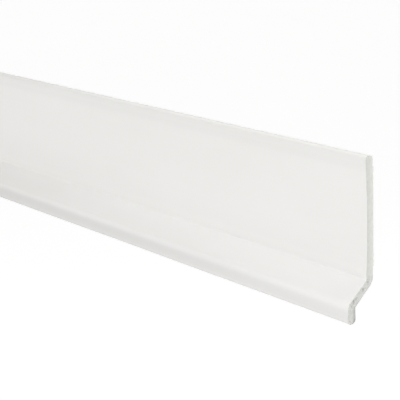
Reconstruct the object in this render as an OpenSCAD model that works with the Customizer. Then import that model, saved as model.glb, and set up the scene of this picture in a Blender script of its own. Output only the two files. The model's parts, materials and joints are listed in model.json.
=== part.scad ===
// Self-adhesive door sweep: a stiff vinyl flange with a soft co-extruded fin below it.
// X runs along the door, Y points at the door and Z is up.
// The origin is the centre of the face that goes against the door.

/* [Length] */
// Length of the sweep along the door
sweep_len = 914; // [300:1:1220]
// Height from the bottom of the lip to the top edge
overall_h = 44.5; // [38:0.5:60]

/* [Mounting flange] */
// Thickness at the top edge
flange_top_t = 2.7; // [2.6:0.05:3.2]
// Thickness at the flex line
flange_t = 2.5; // [2.2:0.05:2.6]
// Depth of the dish in the front face
flange_dish = 0.45; // [0.1:0.01:0.6]
// Radius of both corners of the top edge
top_edge_r = 1.1; // [0.5:0.1:1.2]

/* [Sealing fin] */
// Height of the flex line above the bottom of the lip
flex_h = 12.5; // [12:0.1:14]
// Straight stretch between the flex line and the upper bend
root_len = 0.9; // [0.7:0.1:1.5]
// Slant of the web from the vertical
web_slant = 51; // [40:1:54]
// Length of the web between its bends
web_len = 6.7; // [5:0.1:7]
// Radius of the upper bend, at mid thickness
upper_bend_r = 2.3; // [1.8:0.1:2.8]
// Radius of the lower bend, at mid thickness
lower_bend_r = 2; // [1.7:0.1:2.4]
// Thickness of the lower bend
lower_bend_t = 2.7; // [2.4:0.05:2.9]
// Thickness of the lip at its bottom
lip_t = 2.9; // [2.6:0.05:3.2]
// Radius of both corners of the lip
lip_edge_r = 1.25; // [0.6:0.05:1.25]
// Gap that lets the fin turn in the flange
flex_gap = 0.1; // [0.08:0.01:0.15]

/* [Tape and liner] */
// Thickness of the foam tape
tape_t = 0.25; // [0.2:0.05:1]
// Gap between the flex line and the tape
tape_low_gap = 1.7; // [1.5:0.1:4]
// Gap between the tape and the top edge
tape_top_gap = 3.3; // [3.2:0.1:8]
// Thickness of the liner
liner_t = 0.1; // [0.08:0.01:0.2]
// Length of the liner end where the peel starts
pull_len = 60; // [30:1:100]
// Slit between the liner and its pull end
slit = 0.3; // [0.2:0.05:0.5]

/* [Hidden] */
$fn = 96;

tape_w = overall_h - flex_h - tape_low_gap - tape_top_gap;
// Heights, counted from the middle of the tape
lip_z = -(flex_h + tape_low_gap + tape_w / 2);
flex_z = lip_z + flex_h;
top_z = lip_z + overall_h;
// Back of the flange, and the flex axis at mid thickness
flange_y = -tape_t - liner_t;
flex_y = flange_y - flange_t / 2;
// The web starts after the upper bend and ends before the lower one
web_y0 = flex_y - upper_bend_r * (1 - cos(web_slant));
web_z0 = flex_z - root_len - upper_bend_r * sin(web_slant);
web_y1 = web_y0 - web_len * sin(web_slant);
web_z1 = web_z0 - web_len * cos(web_slant);
lip_y = web_y1 - lower_bend_r * (1 - cos(web_slant));
lip_top_z = web_z1 - lower_bend_r * sin(web_slant);
// Dish of the flange, an arc through the ends of its chord
dish_top = [flange_y - flange_top_t, top_z - top_edge_r];
dish_bottom = [flange_y - flange_t, flex_z];
dish_chord = norm(dish_top - dish_bottom);
dish_r = dish_chord * dish_chord / (8 * flange_dish) + flange_dish / 2;
dish_lean = atan2(dish_bottom.x - dish_top.x, dish_top.y - dish_bottom.y);
dish_fn = 720;
// Stretches of the fin run this far into the bends, so that they join
lap = 0.02;
liner_end_x = sweep_len / 2 - pull_len;

// Sweeps outlines drawn in Y and Z along the door, from x0 to x1, and joins the runs
module along_door(x0, x1) {
    translate([x0, 0, 0])
        rotate([90, 0, 90])
            for (i = [0 : $children - 1])
                linear_extrude(height = x1 - x0)
                    children(i);
}

// Two round corners side by side, t apart on the outside, whose crown points up
module crown(t, r) {
    for (y = [r - t / 2, t / 2 - r])
        translate([y, -r])
            circle(r = r);
    translate([r - t / 2, -r])
        square([t - 2 * r, r]);
}

// Part of a ring from angle a0 to a1, under 180 degrees
module ring_arc(r, t, a0, a1) {
    reach = (r + t) / cos((a1 - a0) / 2);
    intersection() {
        difference() {
            circle(r = r + t / 2);
            circle(r = r - t / 2);
        }
        polygon([[0, 0], reach * [cos(a0), sin(a0)], reach * [cos(a1), sin(a1)]]);
    }
}

module flange_section() {
    difference() {
        union() {
            translate([flange_y - flange_top_t / 2, top_z])
                crown(flange_top_t, top_edge_r);
            translate([flange_y - flange_top_t, flex_z])
                square([flange_top_t, overall_h - flex_h - top_edge_r]);
        }
        // The dish in the front face
        translate((dish_top + dish_bottom) / 2)
            rotate(dish_lean)
                translate([flange_dish - dish_r, 0])
                    circle(r = dish_r, $fn = dish_fn);
        // The round seat of the flex line
        translate([flex_y, flex_z])
            circle(r = flange_t / 2 + flex_gap);
    }
}

// Round top, centred on the flex axis, and the straight stretch below it
module fin_root() {
    translate([flex_y, flex_z])
        circle(r = flange_t / 2);
    translate([flex_y - flange_t / 2, flex_z - root_len - lap])
        square([flange_t, root_len + lap]);
}

module upper_bend() {
    translate([flex_y - upper_bend_r, flex_z - root_len])
        ring_arc(upper_bend_r, flange_t, -web_slant, 0);
}

// Slanted stretch, a little thicker at its lower end
module web() {
    down = [-sin(web_slant), -cos(web_slant)];
    across = [cos(web_slant), -sin(web_slant)] / 2;
    start = [web_y0, web_z0] - lap * down;
    end = [web_y1, web_z1] + lap * down;
    polygon([
        start - flange_t * across,
        start + flange_t * across,
        end + lower_bend_t * across,
        end - lower_bend_t * across
    ]);
}

module lower_bend() {
    translate([lip_y + lower_bend_r, lip_top_z])
        ring_arc(lower_bend_r, lower_bend_t, 180 - web_slant, 180);
}

// Upright stretch, widening to its round bottom
module lip() {
    polygon([
        [lip_y - lower_bend_t / 2, lip_top_z + lap],
        [lip_y + lower_bend_t / 2, lip_top_z + lap],
        [lip_y + lip_t / 2, lip_z + lip_edge_r],
        [lip_y - lip_t / 2, lip_z + lip_edge_r]
    ]);
    translate([lip_y, lip_z])
        mirror([0, 1])
            crown(lip_t, lip_edge_r);
}

module mounting_flange() {
    color([0.93, 0.93, 0.91])
        along_door(-sweep_len / 2, sweep_len / 2)
            flange_section();
}

module sealing_fin() {
    color([0.9, 0.9, 0.88])
        along_door(-sweep_len / 2, sweep_len / 2) {
            fin_root();
            upper_bend();
            web();
            lower_bend();
            lip();
        }
}

module foam_tape() {
    color([0.97, 0.97, 0.96])
        translate([-sweep_len / 2, flange_y, -tape_w / 2])
            cube([sweep_len, tape_t, tape_w]);
}

// Flat stretch of liner from x0 to x1, with its outer face on the door face
module liner_stretch(x0, x1) {
    translate([x0, -liner_t, -tape_w / 2])
        cube([x1 - x0, liner_t, tape_w]);
}

module release_liner() {
    color([0.93, 0.91, 0.85])
        liner_stretch(-sweep_len / 2, liner_end_x);
}

module liner_pull_end() {
    color([0.93, 0.91, 0.85])
        liner_stretch(liner_end_x + slit, sweep_len / 2);
}

mounting_flange();
sealing_fin();
foam_tape();
release_liner();
liner_pull_end();
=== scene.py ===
"""Self-adhesive door sweep: visual model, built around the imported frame. Lengths are in metres."""
import json
import math

import bmesh
import bpy
import numpy as np
from mathutils import Matrix, Vector


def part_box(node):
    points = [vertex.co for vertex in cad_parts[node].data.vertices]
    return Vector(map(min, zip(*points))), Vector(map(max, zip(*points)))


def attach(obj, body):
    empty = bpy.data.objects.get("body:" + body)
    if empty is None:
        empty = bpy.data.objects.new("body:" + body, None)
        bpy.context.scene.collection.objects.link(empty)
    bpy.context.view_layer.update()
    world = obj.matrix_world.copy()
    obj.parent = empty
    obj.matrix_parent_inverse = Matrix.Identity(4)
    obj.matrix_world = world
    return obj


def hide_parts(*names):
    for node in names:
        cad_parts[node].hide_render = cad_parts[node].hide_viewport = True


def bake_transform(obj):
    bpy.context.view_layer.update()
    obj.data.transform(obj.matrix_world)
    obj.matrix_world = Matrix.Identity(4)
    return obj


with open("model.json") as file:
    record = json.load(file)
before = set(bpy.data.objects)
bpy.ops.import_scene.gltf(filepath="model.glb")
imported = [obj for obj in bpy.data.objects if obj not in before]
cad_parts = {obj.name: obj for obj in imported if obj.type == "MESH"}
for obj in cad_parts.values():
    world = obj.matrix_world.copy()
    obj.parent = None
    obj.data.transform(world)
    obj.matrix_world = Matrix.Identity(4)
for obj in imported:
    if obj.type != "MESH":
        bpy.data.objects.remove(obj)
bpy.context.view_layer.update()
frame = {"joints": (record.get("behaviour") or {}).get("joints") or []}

MM = 0.001
rng = np.random.default_rng(11)

# --- Section of the extrusion: from the frame where it gives a size, else as in part.scad ---------
FLANGE_LO, FLANGE_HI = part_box("mounting_flange")
FIN_LO, FIN_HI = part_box("sealing_fin")
TAPE_LO, TAPE_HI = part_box("foam_tape")
LINER_LO, LINER_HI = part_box("release_liner")
PULL_LO, PULL_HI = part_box("liner_pull_end")
JOINTS = {j["name"]: j for j in frame["joints"]}
FLEX = Vector(JOINTS["fin_flex"]["pos_m"])
PEEL = Vector(JOINTS["liner_peel"]["pos_m"])

BACK_Y = FLANGE_HI.y
FLANGE_T = 2 * (BACK_Y - FLEX.y)
FLANGE_TOP_T = BACK_Y - FLANGE_LO.y
FLANGE_DISH = 0.45 * MM
TOP_EDGE_R = 1.1 * MM
ROOT_LEN = 0.9 * MM
WEB_SLANT = math.radians(51)
WEB_LEN = 6.7 * MM
UPPER_BEND_R = 2.3 * MM
LOWER_BEND_R = 2.0 * MM
LOWER_BEND_T = 2.7 * MM
LIP_T = 2.9 * MM
LIP_EDGE_R = 1.25 * MM
# The die leaves the slanted web this much thinner at its front
WEB_TRIM = 0.22 * MM

# The two vinyls meet just above the upper bend
BOND_Z = FLEX.z - 0.75 * MM
# Rounding round the cut ends, and columns of points across the thickness
CUT_EASE = 0.05 * MM
ACROSS = 13


def stations(lo, hi, pitch, ease):
    """X of each outline along the strip: close together at both cut ends, pitch apart between."""
    near = np.array([0, ease, 0.35 * MM, 0.8 * MM, 1.6 * MM, 3 * MM, 5 * MM])
    middle = np.arange(lo + near[-1], hi - near[-1], pitch)[1:]
    return np.concatenate([lo + near, middle, hi - near[::-1]])


def waves(x, lengths, phases):
    """Smooth wander along the strip, within about -1 to 1."""
    return sum(np.sin(2 * math.pi * x / w + p) for w, p in zip(lengths, phases)) / len(lengths)


def flange_grid(inset):
    """Points of the flange's section, from the bond line up (rows) and from front to back (columns)."""
    top, bottom = FLANGE_HI.z - inset, BOND_Z
    edge = TOP_EDGE_R - inset
    high = top - edge + edge * np.sin(np.linspace(0, math.pi / 2, 10))
    z = np.concatenate([np.linspace(bottom, high[0], 36)[:-1], high])
    u = (z - FLEX.z) / (FLANGE_HI.z - TOP_EDGE_R - FLEX.z)
    dish = 4 * FLANGE_DISH * np.clip(u, 0, 1) * (1 - np.clip(u, 0, 1))
    front = BACK_Y - FLANGE_T - (FLANGE_TOP_T - FLANGE_T) * np.clip(u, 0, 1) + dish + inset
    back = np.full_like(z, BACK_Y - inset)
    round_top = edge - np.sqrt(np.clip(edge**2 - np.clip(z - (top - edge), 0, edge) ** 2, 0, None))
    front, back = front + round_top, back - round_top
    across = np.linspace(0, 1, ACROSS)
    y = front[:, None] + (back - front)[:, None] * across
    return np.stack([y, np.repeat(z[:, None], ACROSS, 1)], -1)


def fin_path():
    """Middle of the fin from the bond line down: points, leans from the vertical, thicknesses."""
    upper, lower = UPPER_BEND_R * WEB_SLANT, LOWER_BEND_R * WEB_SLANT
    drop = ROOT_LEN + (UPPER_BEND_R + LOWER_BEND_R) * math.sin(WEB_SLANT) + WEB_LEN * math.cos(WEB_SLANT)
    lip_len = (FLEX.z - FIN_LO.z) - drop
    straight_lip = lip_len - LIP_EDGE_R
    root = ROOT_LEN - (FLEX.z - BOND_Z)
    # length, lean at its end, thickness at its end, steps
    runs = [
        (root, 0, FLANGE_T, 1),
        (upper, WEB_SLANT, FLANGE_T, 14),
        (WEB_LEN, WEB_SLANT, LOWER_BEND_T, 14),
        (lower, 0, LOWER_BEND_T, 14),
        (straight_lip, 0, LIP_T, 8),
    ]
    point, lean, thick = np.array([FLEX.y, BOND_Z]), 0.0, FLANGE_T
    points, leans, thicks = [point], [lean], [thick]
    for length, lean_end, thick_end, steps in runs:
        start, lean_start, thick_start = point, lean, thick
        for k in range(1, steps + 1):
            part = k / steps
            lean = lean_start + (lean_end - lean_start) * part
            if abs(lean_end - lean_start) > 1e-9:
                r = length / (lean_end - lean_start)
                step = r * np.array([math.cos(lean) - math.cos(lean_start), math.sin(lean_start) - math.sin(lean)])
            else:
                step = length * part * np.array([-math.sin(lean), -math.cos(lean)])
            point = start + step
            thick = thick_start + (thick_end - thick_start) * part
            points.append(point), leans.append(lean), thicks.append(thick)
    return np.array(points), np.array(leans), np.array(thicks)


def fin_grid(inset):
    """Points of the fin's section, from the bond line down (rows) and from front to back (columns)."""
    points, leans, thicks = fin_path()
    # Round bottom of the lip
    edge = LIP_EDGE_R - inset
    turn = np.linspace(0, math.pi / 2, 12)[1:]
    bottom_z = FIN_LO.z + LIP_EDGE_R - edge * np.sin(turn)
    bottom = np.stack([np.full_like(turn, points[-1][0]), bottom_z], -1)
    half_low = LIP_T / 2 - LIP_EDGE_R + edge * np.cos(turn)
    half = thicks / 2 - inset
    middle = np.concatenate([points, bottom])
    lean = np.concatenate([leans, np.zeros(len(turn))])
    half = np.concatenate([half, half_low])
    normal = np.stack([-np.cos(lean), np.sin(lean)], -1)
    front = half - WEB_TRIM * np.sin(lean) / math.sin(WEB_SLANT)
    side = np.linspace(front, -half, ACROSS, axis=1)
    return middle[:, None, :] + side[:, :, None] * normal[:, None, :]


def rim_indices(rows, cols):
    """Row and column of each point round the edge of a section grid."""
    down = [(i, 0) for i in range(rows)]
    across = [(rows - 1, j) for j in range(1, cols)]
    up = [(i, cols - 1) for i in range(rows - 2, -1, -1)]
    home = [(0, j) for j in range(cols - 2, 0, -1)]
    return down + across + up + home


def strip_mesh(name, grid_at, xs, shape, shade):
    """A solid strip: grid_at(inset) is the section, xs are its stations, and shape(x, grid) bends each section.
    Both cut ends are flat grids with an eased rim, in material slot 1. The point attribute "shade" holds
    shade(x, y, z, cut), a factor for the colour, which paints light and shade onto the strip."""
    full, cut = grid_at(0.0), grid_at(CUT_EASE)
    rows, cols = full.shape[:2]
    rim = rim_indices(rows, cols)
    place = {ij: k for k, ij in enumerate(rim)}
    verts, shades, faces, kinds = [], [], [], []
    last = len(xs) - 1
    for n, x in enumerate(xs):
        is_cut = n in (0, last)
        section = cut if is_cut else full
        bent = shape(x, section)
        verts += [(x, *bent[i, j]) for i, j in rim]
        shades += [shade(x, *section[i, j], is_cut) for i, j in rim]
    count = len(rim)
    for n in range(last):
        for k in range(count):
            a, b = n * count + k, n * count + (k + 1) % count
            faces.append((a, b, b + count, a + count))
            kinds.append(1 if n in (0, last - 1) else 0)
    # The flat grid that closes each cut end
    for n, x in ((0, xs[0]), (last, xs[-1])):
        bent = shape(x, cut)
        number = {}
        for i in range(rows):
            for j in range(cols):
                if (i, j) in place:
                    number[i, j] = n * count + place[i, j]
                else:
                    number[i, j] = len(verts)
                    verts.append((x, *bent[i, j]))
                    shades.append(shade(x, *cut[i, j], True))
        for i in range(rows - 1):
            for j in range(cols - 1):
                faces.append((number[i, j], number[i + 1, j], number[i + 1, j + 1], number[i, j + 1]))
                kinds.append(1)
    mesh = bpy.data.meshes.new(name)
    mesh.from_pydata([tuple(map(float, v)) for v in verts], [], faces)
    mesh.polygons.foreach_set("material_index", kinds)
    mesh.attributes.new("shade", "FLOAT", "POINT").data.foreach_set("value", [float(v) for v in shades])
    return finish_mesh(name, mesh)


def finish_mesh(name, mesh):
    """Outward normals, smooth shading with sharp creases, and an object for the mesh."""
    bm = bmesh.new()
    bm.from_mesh(mesh)
    bmesh.ops.recalc_face_normals(bm, faces=bm.faces)
    bm.to_mesh(mesh)
    bm.free()
    mesh.shade_smooth()
    mesh.set_sharp_from_angle(angle=math.radians(38))
    obj = bpy.data.objects.new(name, mesh)
    bpy.context.scene.collection.objects.link(obj)
    return obj


def roughen_cut(obj, depth, grain, pits):
    """Saw marks and pits on the cut ends. Each pit is (y, z, radius, depth); it goes into the strip."""
    xs = np.array([v.co.x for v in obj.data.vertices])
    ends = {float(xs.min()): 1.0, float(xs.max()): -1.0}
    for v in obj.data.vertices:
        for end, inward in ends.items():
            if abs(v.co.x - end) > 1e-7:
                continue
            marks = 0.5 + 0.5 * math.sin(v.co.z / grain + 3 * math.sin(v.co.y / grain / 2) + end)
            push = depth * (0.6 * marks + 0.4 * rng.random())
            for y, z, radius, deep in pits:
                away = math.hypot(v.co.y - y, v.co.z - z) / radius
                push += deep * math.exp(-away * away)
            v.co.x += inward * push


# --- Materials ------------------------------------------------------------------------------------
def node_tree(name):
    """A new material, its nodes and links, and its shader."""
    material = bpy.data.materials.new(name)
    material.use_nodes = True
    nodes, links = material.node_tree.nodes, material.node_tree.links
    return material, nodes, links, nodes["Principled BSDF"]


def noise(nodes, links, scale, stretch, detail, rough=0.55):
    """Object-space noise. Scale is in waves per metre, stretch multiplies it per axis."""
    coord = nodes.new("ShaderNodeTexCoord")
    mapping = nodes.new("ShaderNodeMapping")
    mapping.inputs["Scale"].default_value = stretch
    tex = nodes.new("ShaderNodeTexNoise")
    tex.inputs["Scale"].default_value = scale
    tex.inputs["Detail"].default_value = detail
    tex.inputs["Roughness"].default_value = rough
    links.new(coord.outputs["Object"], mapping.inputs["Vector"])
    links.new(mapping.outputs["Vector"], tex.inputs["Vector"])
    return tex.outputs["Fac"]


def ramp(nodes, links, fac, stops):
    """Colour ramp: stops are (position, colour)."""
    node = nodes.new("ShaderNodeValToRGB")
    elements = node.color_ramp.elements
    while len(elements) < len(stops):
        elements.new(0.5)
    for element, (position, colour) in zip(elements, stops):
        element.position = position
        element.color = (*colour, 1)
    links.new(fac, node.inputs["Fac"])
    return node.outputs["Color"]


def mix(nodes, links, kind, fac, a, b):
    """Blends colour a with b, which is a socket or a colour. The factor is a socket or a number."""
    node = nodes.new("ShaderNodeMix")
    node.data_type = "RGBA"
    node.blend_type = kind
    if isinstance(fac, float):
        node.inputs["Factor"].default_value = fac
    else:
        links.new(fac, node.inputs["Factor"])
    links.new(a, node.inputs[6])
    if isinstance(b, tuple):
        node.inputs[7].default_value = (*b, 1)
    else:
        links.new(b, node.inputs[7])
    return node.outputs[2]


def fit_range(nodes, links, fac, low, high, start=0.3, stop=0.7):
    """Maps start..stop to low..high."""
    node = nodes.new("ShaderNodeMapRange")
    node.inputs["From Min"].default_value = start
    node.inputs["From Max"].default_value = stop
    node.inputs["To Min"].default_value = low
    node.inputs["To Max"].default_value = high
    links.new(fac, node.inputs["Value"])
    return node.outputs["Result"]


def bump(nodes, links, heights):
    """Chain of bumps: heights are (fac, strength, distance)."""
    normal = None
    for fac, strength, distance in heights:
        node = nodes.new("ShaderNodeBump")
        node.inputs["Strength"].default_value = strength
        node.inputs["Distance"].default_value = distance
        links.new(fac, node.inputs["Height"])
        if normal is not None:
            links.new(normal, node.inputs["Normal"])
        normal = node.outputs["Normal"]
    return normal


def shaded(nodes, links, colour):
    """Multiplies a colour by the mesh's point attribute, which paints light and shade onto it."""
    attribute = nodes.new("ShaderNodeAttribute")
    attribute.attribute_name = "shade"
    scale = nodes.new("ShaderNodeVectorMath")
    scale.operation = "SCALE"
    links.new(colour, scale.inputs[0])
    links.new(attribute.outputs["Fac"], scale.inputs["Scale"])
    return scale.outputs["Vector"]


def vinyl(name, pale, deep, roughness):
    """Satin extruded vinyl: faint mottling, streaks along the strip, and a fine orange peel."""
    material, nodes, links, shader = node_tree(name)
    mottle = noise(nodes, links, 38, (0.35, 1, 1), 4)
    streak = noise(nodes, links, 900, (0.004, 1, 1), 3)
    colour = ramp(nodes, links, mottle, [(0.3, deep), (0.7, pale)])
    tint = ramp(nodes, links, streak, [(0.35, (0.994, 0.994, 0.993)), (0.65, (1, 1, 1))])
    colour = mix(nodes, links, "MULTIPLY", 1.0, colour, tint)
    links.new(shaded(nodes, links, colour), shader.inputs["Base Color"])
    peel = noise(nodes, links, 1400, (0.6, 1, 1), 3)
    links.new(fit_range(nodes, links, streak, roughness - 0.05, roughness + 0.07), shader.inputs["Roughness"])
    sag = noise(nodes, links, 60, (0.25, 1, 1), 2)
    links.new(
        bump(nodes, links, [(sag, 0.2, 0.6 * MM), (streak, 0.05, 0.08 * MM), (peel, 0.08, 0.04 * MM)]),
        shader.inputs["Normal"],
    )
    shader.inputs["IOR"].default_value = 1.5
    return material


def cut_vinyl(name, pale, deep, pore, pore_share):
    """Sawn end: matt, mottled, with fine scoring and dark pores."""
    material, nodes, links, shader = node_tree(name)
    mottle = noise(nodes, links, 900, (1, 1, 1), 3, 0.6)
    colour = ramp(nodes, links, mottle, [(0.35, deep), (0.65, pale)])
    pores = noise(nodes, links, 2300, (1, 1, 1), 1, 0.4)
    mask = ramp(nodes, links, pores, [(pore_share - 0.04, (1, 1, 1)), (pore_share + 0.04, (0, 0, 0))])
    colour = mix(nodes, links, "MIX", mask, colour, pore)
    links.new(shaded(nodes, links, colour), shader.inputs["Base Color"])
    score = noise(nodes, links, 5000, (1, 1, 0.15), 2)
    links.new(fit_range(nodes, links, score, 0.6, 0.85), shader.inputs["Roughness"])
    links.new(
        bump(nodes, links, [(score, 0.4, 0.05 * MM), (pores, 0.5, 0.15 * MM)]), shader.inputs["Normal"]
    )
    return material


def tape_foam(name):
    """Closed-cell foam edge of the tape."""
    material, nodes, links, shader = node_tree(name)
    coord = nodes.new("ShaderNodeTexCoord")
    cells = nodes.new("ShaderNodeTexVoronoi")
    cells.inputs["Scale"].default_value = 5200
    links.new(coord.outputs["Object"], cells.inputs["Vector"])
    shade = ramp(nodes, links, cells.outputs["Distance"], [(0.0, (0.62, 0.62, 0.60)), (0.5, (0.86, 0.86, 0.84))])
    links.new(shade, shader.inputs["Base Color"])
    links.new(fit_range(nodes, links, cells.outputs["Distance"], 0.75, 0.55, 0.0, 0.6), shader.inputs["Roughness"])
    links.new(bump(nodes, links, [(cells.outputs["Distance"], 0.6, 0.08 * MM)]), shader.inputs["Normal"])
    return material


def tape_adhesive(name):
    """Tacky face: clear adhesive over white foam, with a slight ripple where the liner left it."""
    material, nodes, links, shader = node_tree(name)
    cloud = noise(nodes, links, 120, (0.5, 1, 1), 4)
    colour = ramp(nodes, links, cloud, [(0.3, (0.80, 0.81, 0.79)), (0.7, (0.87, 0.875, 0.86))])
    links.new(colour, shader.inputs["Base Color"])
    ripple = noise(nodes, links, 700, (2.0, 0.6, 0.6), 3)
    links.new(fit_range(nodes, links, ripple, 0.16, 0.34), shader.inputs["Roughness"])
    links.new(bump(nodes, links, [(ripple, 0.3, 0.06 * MM)]), shader.inputs["Normal"])
    return material


def liner_paper(name, pale, deep, rough_low, rough_high):
    """Siliconised paper: cloudy fibre formation, fine tooth and a few lines from the roll."""
    material, nodes, links, shader = node_tree(name)
    cloud = noise(nodes, links, 260, (0.7, 1, 1), 6, 0.65)
    fibre = noise(nodes, links, 2600, (0.35, 1, 1), 5, 0.6)
    colour = ramp(nodes, links, cloud, [(0.32, deep), (0.68, pale)])
    tooth = ramp(nodes, links, fibre, [(0.3, (0.96, 0.96, 0.955)), (0.7, (1, 1, 1))])
    links.new(mix(nodes, links, "MULTIPLY", 1.0, colour, tooth), shader.inputs["Base Color"])
    links.new(fit_range(nodes, links, cloud, rough_low, rough_high), shader.inputs["Roughness"])
    roll = noise(nodes, links, 500, (0.01, 1, 1), 2)
    links.new(
        bump(nodes, links, [(cloud, 0.2, 0.1 * MM), (fibre, 0.35, 0.05 * MM), (roll, 0.15, 0.1 * MM)]),
        shader.inputs["Normal"],
    )
    return material


RIGID = vinyl("rigid_vinyl", (0.800, 0.792, 0.777), (0.780, 0.772, 0.754), 0.42)
SOFT = vinyl("soft_vinyl", (0.752, 0.745, 0.733), (0.727, 0.720, 0.703), 0.38)
RIGID_CUT = cut_vinyl("rigid_vinyl_cut", (0.642, 0.642, 0.617), (0.59, 0.6, 0.555), (0.50, 0.51, 0.47), 0.28)
SOFT_CUT = cut_vinyl("soft_vinyl_cut", (0.635, 0.632, 0.612), (0.55, 0.551, 0.528), (0.40, 0.398, 0.385), 0.32)
FOAM = tape_foam("tape_foam")
TACKY = tape_adhesive("tape_adhesive")
PAPER = liner_paper("liner_paper", (0.84, 0.82, 0.75), (0.79, 0.765, 0.69), 0.38, 0.55)


# --- The two vinyls -------------------------------------------------------------------------------
STATION_PITCH = 6 * MM
FLANGE_WANDER = rng.uniform(0, 2 * math.pi, 3)
LIP_WANDER = rng.uniform(0, 2 * math.pi, 3)
# Heights above the bottom of the lip of the painted highlight on the crest, the painted shade in the hollow and
# the painted light at the toe
CREST_HIGHLIGHT_UP = 4.9 * MM
HOLLOW_SHADE_UP = 3.2 * MM
TOE_LIGHT_UP = 0.85 * MM
# Pores left in the soft vinyl by the die: shares of the fin's length down from the bond, and their sizes
PORE_SHARES = (0.13, 0.28, 0.54, 0.6, 0.72)
PORE_SIZES = (0.6, 0.9, 0.6, 1.0, 0.5)


def smooth(value, low, high):
    """0 below low, 1 above high, and an even rise between."""
    t = min(max((value - low) / (high - low), 0), 1)
    return t * t * (3 - 2 * t)


def hump(value, centre, width):
    """1 at the centre, and almost 0 two widths from it."""
    return math.exp(-(((value - centre) / width) ** 2))


def bend_flange(x, grid):
    """The front face wanders a little. The back stays flat for the tape."""
    out = grid.copy()
    front = np.clip((BACK_Y - grid[..., 0]) / FLANGE_T, 0, 1)
    height = (grid[..., 1] - BOND_Z) / (FLANGE_HI.z - BOND_Z)
    wander = waves(x, (0.31, 0.13, 0.071), FLANGE_WANDER)
    out[..., 0] += 0.05 * MM * wander * front * np.sin(math.pi * np.clip(height, 0, 1))
    return out


def shade_flange(x, y, z, cut):
    """Painted shade in a faint band under the top edge and on the rounded top edge, and painted light just above
    the bond. On the cut, painted shade along its front edge, and paler towards its back.
    """
    top = FLANGE_HI.z - z
    # Painted shade under the top edge and on the rounded top edge; painted light at the foot, above the bond
    top_band_shade = smooth(top, 0, 1.2 * MM) * (1 - smooth(top, 3 * MM, 5.5 * MM))
    foot_light = 1 - smooth(z, BOND_Z + 1.5 * MM, BOND_Z + 3.5 * MM)
    tone = 1 - 0.035 * top_band_shade - 0.1 * hump(top, 0.5 * MM, 0.5 * MM) + 0.02 * foot_light
    if cut:
        # On the cut: painted shade along the front edge, and paler towards the back
        front = FLANGE_LO.y + (FLANGE_TOP_T - FLANGE_T + FLANGE_DISH) * smooth(top, 0, 12 * MM)
        tone = 1 - 0.05 * (1 - smooth(y - front, 0.2 * MM, 0.7 * MM)) + 0.07 * smooth(y, BACK_Y - 1.5 * MM, BACK_Y)
    return tone


def bend_fin(x, grid):
    """The soft lip strays from straight, more towards its free edge."""
    out = grid.copy()
    free = np.clip((BOND_Z - grid[..., 1]) / (BOND_Z - FIN_LO.z), 0, 1) ** 2
    out[..., 0] += 0.12 * MM * free * waves(x, (0.43, 0.17, 0.083), LIP_WANDER)
    return out


def fin_pores():
    """Pores in the cut ends, near mid thickness: (y, z, radius, depth)."""
    points, leans, thicks = fin_path()
    along = np.concatenate([[0], np.cumsum(np.hypot(*np.diff(points, axis=0).T))])
    along /= along[-1]
    pores = []
    for share, size in zip(PORE_SHARES, PORE_SIZES):
        k = int(np.searchsorted(along, share))
        off = rng.uniform(-0.1, 0.15) * thicks[k]
        y = points[k][0] - off * math.cos(leans[k])
        z = points[k][1] + off * math.sin(leans[k])
        pores.append((y, z, 0.4 * size * MM, 0.6 * size * MM))
    return pores


def make_shade_fin(pores):
    """Shade function of the fin, with these pores in its cut ends."""
    def shade_fin(x, y, z, cut):
        """Painted light and shade on the fin: lighter at the bond with a faint darker dip below it, painted shade
        on the lip that comes and goes along the strip, a painted highlight on the crest, painted shade in the
        hollow and at the very bottom, and painted light at the toe. On the cut, painted shade in the pores and
        over the back of the lip."""
        up = z - FIN_LO.z
        lip = 1 - smooth(up, 3.8 * MM, 5.5 * MM)
        # Painted light at the bond, where the fin bends in, and a faint painted shade below it
        bond_light_and_shade = 0.125 * smooth(z, BOND_Z - 1.2 * MM, BOND_Z) + 0.02 * hump(z, BOND_Z - 0.45 * MM, 0.45 * MM)
        bond_light_and_shade -= 0.015 * hump(z, BOND_Z - 1.4 * MM, 0.4 * MM)
        # Painted shade on the lip: none at the near end, deepest 0.25 m along, none again every 0.5 m
        shade_drift = 0.5 - 0.5 * math.cos(2 * math.pi * (FIN_HI.x - x) / 0.5)
        inner = smooth(FIN_HI.x - x, 0, 60 * MM)
        # Painted highlight on the crest, painted shade in the hollow and at the very bottom, painted light at the
        # toe
        crest_highlight = (0.055 - 0.035 * inner) * hump(up, CREST_HIGHLIGHT_UP, 1.2 * MM)
        hollow_shade = 0.035 * inner * hump(up, HOLLOW_SHADE_UP, 1.3 * MM)
        toe_light = 0.04 * (1 - shade_drift) * hump(up, TOE_LIGHT_UP, 0.5 * MM)
        sole_shade = 0.06 * hump(up, 0.2 * MM, 0.3 * MM)
        tone = 1 + bond_light_and_shade - lip * (0.01 + 0.1 * shade_drift) + crest_highlight - hollow_shade + toe_light - sole_shade
        if cut:
            # Painted shade over the back of the lip on the cut end
            lip_back = FIN_LO.y + LIP_T
            lip_back_shade = 0.29 + 0.15 * (1 - smooth(up, 0.5 * MM, 1.6 * MM))
            tone = 1 - lip_back_shade * lip * smooth(y, lip_back - 1.6 * MM, lip_back - 0.1 * MM)
            # Painted shade in the pores
            for pore_y, pore_z, radius, _ in pores:
                away = math.hypot(y - pore_y, z - pore_z) / radius
                tone *= 1 - 0.3 * math.exp(-away * away)
        return tone
    return shade_fin


def build_flange():
    """Stiff plate down to the bond line."""
    xs = stations(FLANGE_LO.x, FLANGE_HI.x, STATION_PITCH, CUT_EASE)
    obj = strip_mesh("flange_plate", flange_grid, xs, bend_flange, shade_flange)
    roughen_cut(obj, 0.05 * MM, 0.11 * MM, [])
    obj.data.materials.append(RIGID)
    obj.data.materials.append(RIGID_CUT)
    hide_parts("mounting_flange")
    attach(obj, "flange")
    return obj


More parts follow.
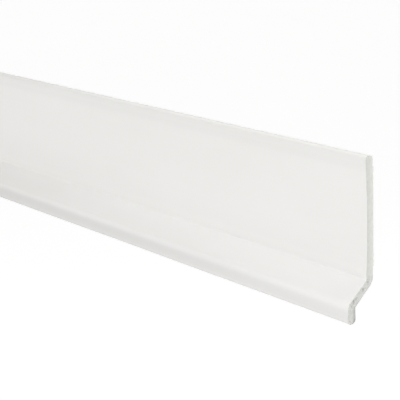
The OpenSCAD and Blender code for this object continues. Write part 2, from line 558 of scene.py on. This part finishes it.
def build_fin():
    """Soft fin below the bond line, which bends between the flange and the lip."""
    xs = stations(FIN_LO.x, FIN_HI.x, STATION_PITCH, CUT_EASE)
    pores = fin_pores()
    obj = strip_mesh("fin_and_lip", fin_grid, xs, bend_fin, make_shade_fin(pores))
    roughen_cut(obj, 0.07 * MM, 0.13 * MM, pores)
    obj.data.materials.append(SOFT)
    obj.data.materials.append(SOFT_CUT)
    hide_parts("sealing_fin")
    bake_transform(obj)
    return obj


# --- Tape and liner -------------------------------------------------------------------------------
def slab_grid(lo, hi, rows, edge_wander):
    """Section of a thin slab from its lower to its upper edge, Y across."""
    def grid(inset):
        z = np.linspace(lo.z + inset, hi.z - inset, rows)
        y = np.linspace(lo.y, hi.y, 4)
        out = np.stack(np.meshgrid(y, z, indexing="xy"), -1)
        # Bulging foam edge
        bulge = edge_wander * np.sin(np.linspace(0, math.pi, 4))
        out[0, :, 1] -= bulge
        out[-1, :, 1] += bulge
        return out
    return grid


def plain_shade(x, y, z, cut):
    """No shading of its own: for the tape and the liner."""
    return 1.0


def build_tape():
    """Foam tape with slightly wavy long edges and tacky faces."""
    xs = np.concatenate([[TAPE_LO.x], np.arange(TAPE_LO.x + 1 * MM, TAPE_HI.x - 1 * MM, 2.5 * MM), [TAPE_HI.x]])
    phases = rng.uniform(0, 2 * math.pi, 4)

    def shape(x, grid):
        out = grid.copy()
        out[0, :, 1] += 0.08 * MM * waves(x, (0.037, 0.011, 0.0053), phases[:3])
        out[-1, :, 1] += 0.08 * MM * waves(x, (0.029, 0.013, 0.0061), phases[1:])
        return out

    obj = strip_mesh("tape_strip", slab_grid(TAPE_LO, TAPE_HI, 12, 0.05 * MM), xs, shape, plain_shade)
    obj.data.materials.append(FOAM)
    obj.data.materials.append(TACKY)
    flat = [1 if abs(p.normal.y) > 0.9 else 0 for p in obj.data.polygons]
    obj.data.polygons.foreach_set("material_index", flat)
    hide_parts("foam_tape")
    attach(obj, "flange")
    return obj


def build_liner():
    """One strip of paper, with close stations round the peel joint, where peeling would fold it."""
    fold = np.arange(PEEL.x - 2 * MM, PEEL.x + 15 * MM, 0.35 * MM)
    xs = np.concatenate([
        [LINER_LO.x], np.arange(LINER_LO.x + 2 * MM, fold[0] - 2 * MM, 5 * MM),
        fold, np.arange(fold[-1] + 2 * MM, PULL_HI.x - 2 * MM, 2 * MM), [PULL_HI.x],
    ])
    phases = rng.uniform(0, 2 * math.pi, 3)

    def shape(x, grid):
        """The slit edges of the paper wander a little."""
        out = grid.copy()
        out[0, :, 1] += 0.05 * MM * waves(x, (0.21, 0.093, 0.047), phases)
        out[-1, :, 1] += 0.05 * MM * waves(x, (0.17, 0.081, 0.039), phases)
        return out

    grid = slab_grid(Vector((0, LINER_LO.y, LINER_LO.z)), Vector((0, LINER_HI.y, LINER_HI.z)), 26, 0.0)
    obj = strip_mesh("liner_strip", grid, xs, shape, plain_shade)
    obj.data.materials.append(PAPER)
    obj.data.materials.append(PAPER)
    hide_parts("release_liner", "liner_pull_end")
    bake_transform(obj)
    return obj


# --- Floor, light and camera ----------------------------------------------------------------------
CAM_AZIMUTH = math.radians(-51.55)
CAM_ELEVATION = math.radians(15.94)
CAM_ROLL = math.radians(2.3)
CAM_LENS = 117.0
# Camera position, counted from the near end of the flange's back, at the height of the origin
CAM_FROM_END = Vector((0.2257, -0.23645, 0.0990))


def place_camera():
    """Camera at the near end, turned, raised and rolled as its constants say."""
    forward = Vector((
        math.sin(CAM_AZIMUTH) * math.cos(CAM_ELEVATION),
        math.cos(CAM_AZIMUTH) * math.cos(CAM_ELEVATION),
        -math.sin(CAM_ELEVATION),
    ))
    right = forward.cross(Vector((0, 0, 1))).normalized()
    down = forward.cross(right)
    x_axis = math.cos(CAM_ROLL) * right + math.sin(CAM_ROLL) * down
    y_axis = math.sin(CAM_ROLL) * right - math.cos(CAM_ROLL) * down
    data = bpy.data.cameras.new("camera")
    data.sensor_width = 36
    data.lens = CAM_LENS
    data.clip_start = 0.01
    data.clip_end = 50
    camera = bpy.data.objects.new("camera", data)
    bpy.context.scene.collection.objects.link(camera)
    turn = Matrix((x_axis, y_axis, -forward)).transposed()
    camera.matrix_world = Matrix.Translation(CAM_FROM_END + Vector((FLANGE_HI.x, BACK_Y, 0))) @ turn.to_4x4()
    bpy.context.scene.camera = camera


def area_light(name, location, target, size, power):
    """Round softbox that lights the strip but doesn't show in the picture."""
    data = bpy.data.lights.new(name, "AREA")
    data.shape = "DISK"
    data.size = size
    data.energy = power
    light = bpy.data.objects.new(name, data)
    bpy.context.scene.collection.objects.link(light)
    light.location = location
    light.visible_camera = False
    light.rotation_mode = "QUATERNION"
    light.rotation_quaternion = (Vector(target) - Vector(location)).to_track_quat("-Z", "Y")


def build_studio():
    """World, softboxes and floor."""
    scene = bpy.context.scene
    scene.view_settings.view_transform = "Standard"
    scene.world = studio_world()
    near = Vector((FLANGE_HI.x, 0, 0))
    aim = near - Vector((0.05, 0, 0))
    # Round the near end: low past the cut end, high in front, weak and low on the left, and above the back
    area_light("key", near + softbox_place(20, 10, 0.6), aim, 0.4, 1.52)
    area_light("top", near + softbox_place(90, 70, 0.6), aim, 0.4, 2.65)
    area_light("side", near + softbox_place(140, 12, 1.0), aim, 0.4, 0.55)
    area_light("rim", near + softbox_place(270, 60, 0.6), aim, 0.4, 1.3)
    build_floor()


def softbox_place(azimuth, elevation, distance):
    """Offset of a softbox: azimuth in degrees from +X round to the front, elevation in degrees."""
    a, e = math.radians(azimuth), math.radians(elevation)
    return distance * Vector((math.cos(e) * math.cos(a), -math.cos(e) * math.sin(a), math.sin(e)))


def studio_world():
    """Pale surroundings: white at the horizon, where they meet the floor, and dimmer overhead."""
    world = bpy.data.worlds.new("studio")
    world.use_nodes = True
    nodes, links = world.node_tree.nodes, world.node_tree.links
    coord = nodes.new("ShaderNodeTexCoord")
    split = nodes.new("ShaderNodeSeparateXYZ")
    links.new(coord.outputs["Generated"], split.inputs["Vector"])
    stops = [(0.08, (1.0, 1.0, 1.0)), (0.18, (0.36, 0.358, 0.352)), (0.6, (0.15, 0.149, 0.147))]
    sky = ramp(nodes, links, split.outputs["Z"], stops)
    links.new(sky, nodes["Background"].inputs["Color"])
    nodes["Background"].inputs["Strength"].default_value = 1.0
    return world


def build_floor():
    """White floor well below the sweep, bright enough to go white in the picture."""
    material, nodes, links, shader = node_tree("floor")
    grain = noise(nodes, links, 3, (1, 1, 1), 3)
    colour = ramp(nodes, links, grain, [(0.3, (0.49, 0.49, 0.49)), (0.7, (0.51, 0.51, 0.51))])
    links.new(colour, shader.inputs["Base Color"])
    shader.inputs["Roughness"].default_value = 0.9
    shader.inputs["Emission Color"].default_value = (1, 1, 1, 1)
    shader.inputs["Emission Strength"].default_value = 0.87
    bm = bmesh.new()
    bmesh.ops.create_circle(bm, cap_ends=True, segments=96, radius=30)
    mesh = bpy.data.meshes.new("floor")
    bm.to_mesh(mesh)
    bm.free()
    floor = bpy.data.objects.new("floor", mesh)
    bpy.context.scene.collection.objects.link(floor)
    floor.location = (0, 0, FIN_LO.z - 0.5)
    floor.data.materials.append(material)


build_flange()
build_fin()
build_tape()
build_liner()
build_studio()
place_camera()
